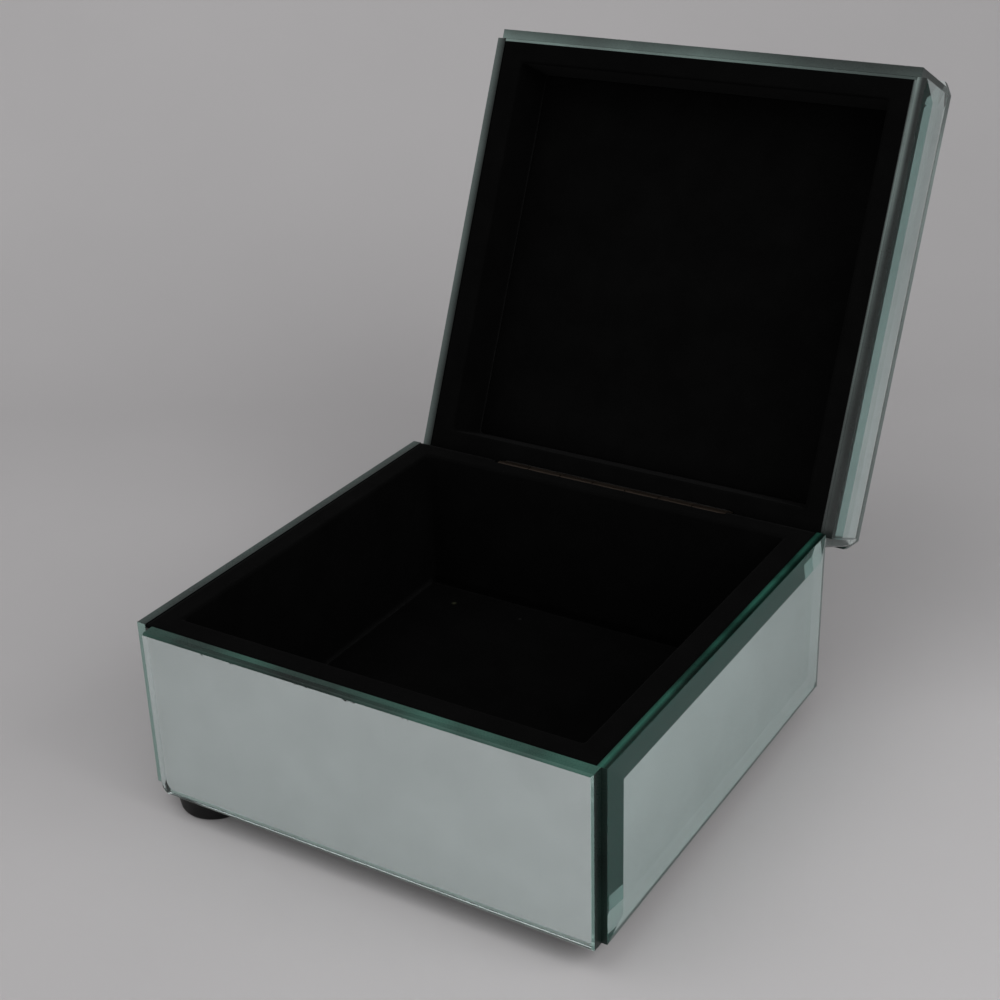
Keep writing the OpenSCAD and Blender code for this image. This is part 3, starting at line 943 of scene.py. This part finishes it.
def dress(node, material, soften=0.0):
    """Gives a CAD node its finish and softens its edges."""
    solid = frame["nodes"][node]
    solid.data.materials.clear()
    solid.data.materials.append(material)
    if soften:
        edge = solid.modifiers.new("soft_edges", "BEVEL")
        edge.width = soften
        edge.segments = 2
        edge.limit_method = "ANGLE"
        edge.angle_limit = math.radians(40)


class KEEPSAKE_OT_hinge(bpy.types.Operator):
    """Finishes the hinge leaves, the pin and the screws in brass"""

    bl_idname = "keepsake.hinge"
    bl_label = "Hinge"

    def execute(self, context):
        s = context.scene.keepsake_metal
        aged = brass_material("aged_brass_sheet", s.brass, 0.32)
        bright = brass_material("turned_brass_screws", s.bright_brass, 0.22)
        for node in ("hinge_lower_leaf", "hinge_upper_leaf", "hinge_pin"):
            dress(node, aged, 0.08 * MM)
        for node in ("hinge_lower_screws", "hinge_upper_screws"):
            dress(node, bright, 0.05 * MM)
        return {"FINISHED"}


class KEEPSAKE_OT_carcass(bpy.types.Operator):
    """Stains the walls and boards of the carcass"""

    bl_idname = "keepsake.carcass"
    bl_label = "Carcass"

    def execute(self, context):
        board = board_material(context.scene.keepsake_metal)
        for body in ("base", "lid"):
            for side in ("front", "back", "left", "right"):
                dress(f"{body}_{side}_wall", board)
        dress("base_bottom_board", board)
        dress("lid_top_board", board)
        return {"FINISHED"}


class KEEPSAKE_OT_feet(bpy.types.Operator):
    """Finishes the four feet in black rubber"""

    bl_idname = "keepsake.feet"
    bl_label = "Feet"

    def execute(self, context):
        rubber = rubber_material(context.scene.keepsake_metal)
        for end in ("front", "back"):
            for side in ("left", "right"):
                dress(f"foot_{end}_{side}", rubber)
        return {"FINISHED"}


# ---- stage ----

# The camera that the photo was taken with, solved from the box's edges; millimetres and degrees.
CAMERA_PLACE = (225.281, -359.127, 286.842)
CAMERA_TURN = {"yaw": 31.789, "pitch": 25.925, "roll": -1.698}
CAMERA_LENS = 63.44
# The paper: half its width, where its inner edges run, how far it reaches in front, and its bend's radius and steps
PAPER_HALF, PAPER_SEAM, PAPER_FRONT, PAPER_MIDDLE = 1.6, 0.5, 1.6, 0.6
BEND_RADIUS, BEND_STEPS = 0.32, 16


def make_paper(s):
    """Floor that bends up into a backdrop, square to the camera."""
    yaw = math.radians(CAMERA_TURN["yaw"])
    along = Vector((-math.sin(yaw), math.cos(yaw), 0.0))
    across = Vector((math.cos(yaw), math.sin(yaw), 0.0))
    profile = [(-PAPER_FRONT, 0.0), (-PAPER_MIDDLE, 0.0), (0.0, 0.0), (s.bend, 0.0)]
    for i in range(1, BEND_STEPS + 1):
        turn = math.radians(90 * i / BEND_STEPS)
        profile.append((s.bend + BEND_RADIUS * math.sin(turn), BEND_RADIUS * (1 - math.cos(turn))))
    profile.append((s.bend + BEND_RADIUS, PAPER_HALF))
    bm = bmesh.new()
    lines = []
    for distance, height in profile:
        middle = along * distance + Vector((0, 0, height))
        sides = (-PAPER_HALF, -PAPER_SEAM, PAPER_SEAM, PAPER_HALF)
        lines.append([bm.verts.new(middle + across * side) for side in sides])
    for near, far in zip(lines, lines[1:]):
        for i in range(3):
            bm.faces.new((near[i], near[i + 1], far[i + 1], far[i])).smooth = True
    mesh = bpy.data.meshes.new("paper")
    bm.to_mesh(mesh)
    bm.free()
    mesh.materials.append(paper_material(s))
    paper = bpy.data.objects.new("backdrop_paper", mesh)
    bpy.context.scene.collection.objects.link(paper)


def make_lamp(name, place, target, size, power):
    """A soft square lamp that looks at a point."""
    light = bpy.data.lights.new(name, "AREA")
    light.shape = "RECTANGLE"
    light.size, light.size_y = size
    light.energy = power
    lamp = bpy.data.objects.new(name, light)
    lamp.location = place
    lamp.rotation_euler = (Vector(target) - Vector(place)).to_track_quat("-Z", "Y").to_euler()
    bpy.context.scene.collection.objects.link(lamp)


def make_camera():
    """The photo's camera."""
    yaw, pitch, roll = (math.radians(CAMERA_TURN[k]) for k in ("yaw", "pitch", "roll"))
    ahead = Vector((-math.sin(yaw) * math.cos(pitch), math.cos(yaw) * math.cos(pitch), -math.sin(pitch)))
    right = Vector((math.cos(yaw), math.sin(yaw), 0.0))
    above = right.cross(ahead)
    side = math.cos(roll) * right + math.sin(roll) * above
    top = math.cos(roll) * above - math.sin(roll) * right
    turn = Matrix((side, top, -ahead)).transposed().to_4x4()
    data = bpy.data.cameras.new("photo_camera")
    data.lens = CAMERA_LENS
    data.sensor_width = 36.0
    data.clip_start = 0.01
    camera = bpy.data.objects.new("photo_camera", data)
    camera.matrix_world = Matrix.Translation(Vector(CAMERA_PLACE) * MM) @ turn
    bpy.context.scene.collection.objects.link(camera)
    bpy.context.scene.camera = camera


class KEEPSAKE_OT_stage(bpy.types.Operator):
    """Sets the paper, the light and the camera"""

    bl_idname = "keepsake.stage"
    bl_label = "Stage"

    def execute(self, context):
        s = context.scene.keepsake_stage
        make_paper(s)
        make_lamp("left_softbox", (-0.35, -0.42, 1.15), (0.0, 0.0, 0.05), (1.0, 0.9), s.key)
        make_lamp("right_softbox", (0.85, -0.5, 0.7), (0.08, 0.0, 0.0), (0.8, 0.8), s.fill)
        # low enough to light the floor under the front pane
        make_lamp("front_softbox", (0.1, -1.0, 0.32), (0.0, -0.05, 0.0), (1.0, 0.45), s.front)
        # stands in for the light that the right pane throws on the floor beside it
        make_lamp("low_softbox", (0.45, -0.02, 0.38), (0.07, 0.01, 0.0), (0.3, 0.3), s.bounce)
        world = bpy.data.worlds.new("even_light")
        world.use_nodes = True
        tree = world.node_tree
        tree.nodes.clear()
        sky = add_node(tree, "ShaderNodeBackground", {"Color": rgb("f4f4f4"), "Strength": s.ambient})
        add_node(tree, "ShaderNodeOutputWorld", {"Surface": sky.outputs[0]})
        context.scene.world = world
        context.scene.view_settings.view_transform = "Standard"
        make_camera()
        return {"FINISHED"}


# ---- panel and registration ----


class KEEPSAKE_PT_panel(bpy.types.Panel):
    """Lists the steps that build the box."""

    bl_idname = "KEEPSAKE_PT_panel"
    bl_label = "Keepsake Box"
    bl_space_type = "VIEW_3D"
    bl_region_type = "UI"
    bl_category = "Keepsake Box"

    def draw(self, context):
        for step, group in STEPS:
            self.layout.operator("keepsake." + step)
            settings = getattr(context.scene, group)
            for name in settings.__annotations__:
                self.layout.prop(settings, name)


STEPS = (
    ("glass", "keepsake_glass"),
    ("velvet", "keepsake_velvet"),
    ("hinge", "keepsake_metal"),
    ("carcass", "keepsake_metal"),
    ("feet", "keepsake_metal"),
    ("stage", "keepsake_stage"),
)
SETTINGS = {
    "keepsake_glass": KeepsakeGlassSettings,
    "keepsake_velvet": KeepsakeVelvetSettings,
    "keepsake_metal": KeepsakeMetalSettings,
    "keepsake_stage": KeepsakeStageSettings,
}
CLASSES = (
    *SETTINGS.values(),
    KEEPSAKE_OT_glass,
    KEEPSAKE_OT_velvet,
    KEEPSAKE_OT_hinge,
    KEEPSAKE_OT_carcass,
    KEEPSAKE_OT_feet,
    KEEPSAKE_OT_stage,
    KEEPSAKE_PT_panel,
)


def register():
    for made in CLASSES:
        bpy.utils.register_class(made)
    for name, group in SETTINGS.items():
        setattr(bpy.types.Scene, name, bpy.props.PointerProperty(type=group))


def unregister():
    for name in SETTINGS:
        delattr(bpy.types.Scene, name)
    for made in reversed(CLASSES):
        bpy.utils.unregister_class(made)


def main():
    register()
    for step, _ in STEPS:
        getattr(bpy.ops.keepsake, step)()


if __name__ == "__main__":
    main()
